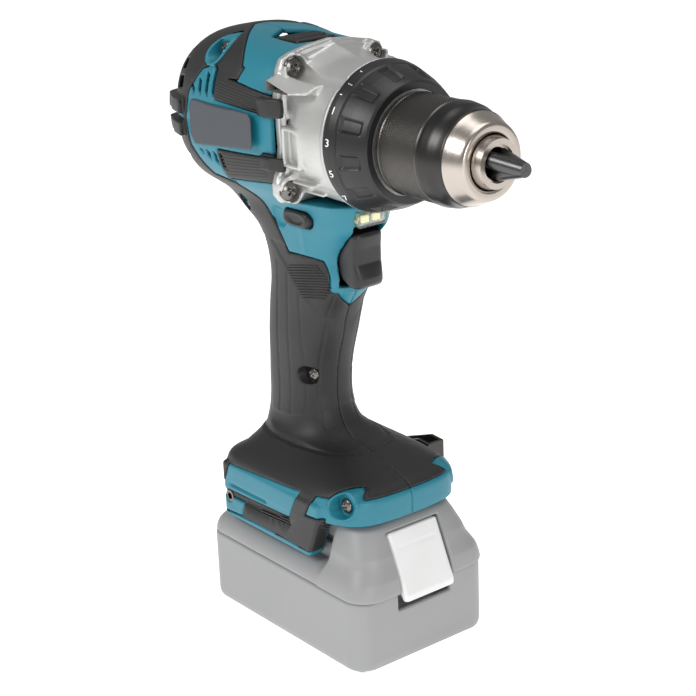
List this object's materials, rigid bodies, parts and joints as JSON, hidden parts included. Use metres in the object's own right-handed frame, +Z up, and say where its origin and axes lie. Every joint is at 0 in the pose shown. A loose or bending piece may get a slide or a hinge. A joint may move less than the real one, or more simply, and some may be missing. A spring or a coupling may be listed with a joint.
{
  "type": "cordless hammer drill",
  "caption": "Pistol-grip cordless hammer drill with a keyless chuck, torque ring, brushless motor, planetary gears and a slide-on battery pack.",
  "frame": {"origin": "middle of the battery pack's flat base", "axes": "+X forwards along the chuck, +Y to the tool's left, +Z up; the drill axis is parallel to X at z = 0.2388 m"},
  "size_m": [0.2064, 0.087, 0.2771],
  "materials": {
    "teal_plastic": "fine-grained glass-filled nylon",
    "rubber_skin": "satin moulded elastomer",
    "dark_screw": "dark plated screw",
    "plate_film": "blank rating film",
    "cast_alloy": "blasted die casting",
    "laminated_steel": "stacked laminations",
    "copper": "enamelled copper wire",
    "circuit_board": "solder mask",
    "bright_steel": "ground",
    "gear_steel": "hardened, oiled",
    "black_plastic": "satin nylon",
    "chuck_steel": "satin turned",
    "black_steel": "black oxide",
    "jaw_steel": "hardened, ground",
    "clear_lens": "clear moulded",
    "wire": "silicone insulation",
    "brass": "plain",
    "pack_plastic": "pale grey, fine-grained",
    "cell_wrap": "shrink sleeve",
    "white_plastic": "satin white",
    "gauge_film": "printed film"
  },
  "bodies": {
    "tool": {"housing_right": "teal_plastic", "housing_left": "teal_plastic", "skin_right": "rubber_skin", "skin_left": "rubber_skin", "housing_screws": "dark_screw", "rating_plate": "plate_film", "gear_case": "cast_alloy", "gear_case_screws": "dark_screw", "stator_core": "laminated_steel", "stator_windings": "copper", "sensor_board": "circuit_board", "motor_bearings": "bright_steel", "bearing_plate": "bright_steel", "ring_gears": "gear_steel", "spindle_bearing": "bright_steel", "clutch_spring": "gear_steel", "switch_body": "black_plastic", "lamp_lens": "clear_lens", "lamp_board": "circuit_board", "motor_leads": "wire", "controller": "circuit_board", "terminal_block": "black_plastic", "hook_inserts": "brass", "belt_hook": "black_steel", "hook_screw": "dark_screw"},
    "rotor": {"rotor_core": "laminated_steel", "motor_shaft": "bright_steel", "cooling_fan": "black_plastic"},
    "carrier": {"planet_carrier": "gear_steel"},
    "planet_1a": {"planet_1a": "gear_steel"},
    "planet_1b": {"planet_1b": "gear_steel"},
    "planet_1c": {"planet_1c": "gear_steel"},
    "planet_2a": {"planet_2a": "gear_steel"},
    "planet_2b": {"planet_2b": "gear_steel"},
    "planet_2c": {"planet_2c": "gear_steel"},
    "spindle": {"spindle": "bright_steel", "chuck_body": "chuck_steel"},
    "sleeve": {"chuck_sleeve": "black_steel", "chuck_collar": "black_steel", "chuck_nose": "chuck_steel", "chuck_nut": "black_steel"},
    "jaw_a": {"jaw_a": "jaw_steel"},
    "jaw_b": {"jaw_b": "jaw_steel"},
    "jaw_c": {"jaw_c": "jaw_steel"},
    "torque_ring": {"clutch_ring": "black_plastic"},
    "trigger": {"trigger": "black_plastic"},
    "direction_lever": {"direction_lever": "black_plastic"},
    "speed_selector": {"speed_selector": "black_plastic"},
    "pack": {"pack_lower_case": "pack_plastic", "pack_upper_case": "pack_plastic", "pack_cells": "cell_wrap", "pack_board": "circuit_board", "pack_contacts": "brass", "pack_screws": "dark_screw", "latch_spring": "bright_steel", "gauge_panel": "gauge_film"},
    "pack_latch": {"pack_latch": "white_plastic"},
    "gauge_button": {"gauge_button": "black_plastic"}
  },
  "joints": [
    {"name": "spindle_spin", "type": "hinge", "parent": "tool", "child": "spindle", "pos_m": [0.07, 0, 0.2388], "axis": [1, 0, 0], "continuous": true},
    {"name": "carrier_spin", "type": "hinge", "parent": "tool", "child": "carrier", "pos_m": [0.015, 0, 0.2388], "axis": [1, 0, 0], "continuous": true},
    {"name": "rotor_spin", "type": "hinge", "parent": "tool", "child": "rotor", "pos_m": [-0.03, 0, 0.2388], "axis": [1, 0, 0], "continuous": true},
    {"name": "planet_1a_spin", "type": "hinge", "parent": "carrier", "child": "planet_1a", "pos_m": [0.0105, 0, 0.2238], "axis": [1, 0, 0], "continuous": true},
    {"name": "planet_1b_spin", "type": "hinge", "parent": "carrier", "child": "planet_1b", "pos_m": [0.0105, 0.01299, 0.2463], "axis": [1, 0, 0], "continuous": true},
    {"name": "planet_1c_spin", "type": "hinge", "parent": "carrier", "child": "planet_1c", "pos_m": [0.0105, -0.01299, 0.2463], "axis": [1, 0, 0], "continuous": true},
    {"name": "planet_2a_spin", "type": "hinge", "parent": "spindle", "child": "planet_2a", "pos_m": [0.02, 0, 0.2238], "axis": [1, 0, 0], "continuous": true},
    {"name": "planet_2b_spin", "type": "hinge", "parent": "spindle", "child": "planet_2b", "pos_m": [0.02, 0.01299, 0.2463], "axis": [1, 0, 0], "continuous": true},
    {"name": "planet_2c_spin", "type": "hinge", "parent": "spindle", "child": "planet_2c", "pos_m": [0.02, -0.01299, 0.2463], "axis": [1, 0, 0], "continuous": true},
    {"name": "sleeve_turn", "type": "hinge", "parent": "spindle", "child": "sleeve", "pos_m": [0.08, 0, 0.2388], "axis": [1, 0, 0], "range_deg": [0, 1440]},
    {"name": "jaw_a_slide", "type": "slide", "parent": "spindle", "child": "jaw_a", "axis": [-0.9659, 0, -0.2588], "range_m": [0, 0.024]},
    {"name": "jaw_b_slide", "type": "slide", "parent": "spindle", "child": "jaw_b", "axis": [-0.9659, 0.2241, 0.1294], "range_m": [0, 0.024]},
    {"name": "jaw_c_slide", "type": "slide", "parent": "spindle", "child": "jaw_c", "axis": [-0.9659, -0.2241, 0.1294], "range_m": [0, 0.024]},
    {"name": "torque_ring_turn", "type": "hinge", "parent": "tool", "child": "torque_ring", "pos_m": [0.048, 0, 0.2388], "axis": [1, 0, 0], "range_deg": [-60, 210]},
    {"name": "trigger_pull", "type": "slide", "parent": "tool", "child": "trigger", "axis": [-1, 0, 0], "range_m": [0, 0.0065], "stiffness_N_per_m": 900, "springref_m": -0.004},
    {"name": "direction_slide", "type": "slide", "parent": "tool", "child": "direction_lever", "axis": [0, 1, 0], "range_m": [-0.003, 0.003]},
    {"name": "speed_slide", "type": "slide", "parent": "tool", "child": "speed_selector", "axis": [1, 0, 0], "range_m": [-0.005, 0]},
    {"name": "pack_slide", "type": "slide", "parent": "tool", "child": "pack", "axis": [1, 0, 0], "range_m": [0, 0.12]},
    {"name": "latch_press", "type": "slide", "parent": "pack", "child": "pack_latch", "axis": [0, 0, -1], "range_m": [0, 0.004], "stiffness_N_per_m": 1500, "springref_m": -0.003, "deforming": ["latch_spring"]},
    {"name": "gauge_press", "type": "slide", "parent": "pack", "child": "gauge_button", "axis": [1, 0, 0], "range_m": [0, 0.0004], "stiffness_N_per_m": 3000, "springref_m": -0.0002}
  ],
  "couplings": [
    {"joint": "carrier_spin", "follows": "spindle_spin", "ratio": 4},
    {"joint": "rotor_spin", "follows": "spindle_spin", "ratio": 16},
    {"joint": "planet_1a_spin", "follows": "spindle_spin", "ratio": -12},
    {"joint": "planet_1b_spin", "follows": "spindle_spin", "ratio": -12},
    {"joint": "planet_1c_spin", "follows": "spindle_spin", "ratio": -12},
    {"joint": "planet_2a_spin", "follows": "spindle_spin", "ratio": -3},
    {"joint": "planet_2b_spin", "follows": "spindle_spin", "ratio": -3},
    {"joint": "planet_2c_spin", "follows": "spindle_spin", "ratio": -3},
    {"joint": "jaw_a_slide", "follows": "sleeve_turn", "m_per_rad": 0.00095492},
    {"joint": "jaw_b_slide", "follows": "sleeve_turn", "m_per_rad": 0.00095492},
    {"joint": "jaw_c_slide", "follows": "sleeve_turn", "m_per_rad": 0.00095492}
  ]
}
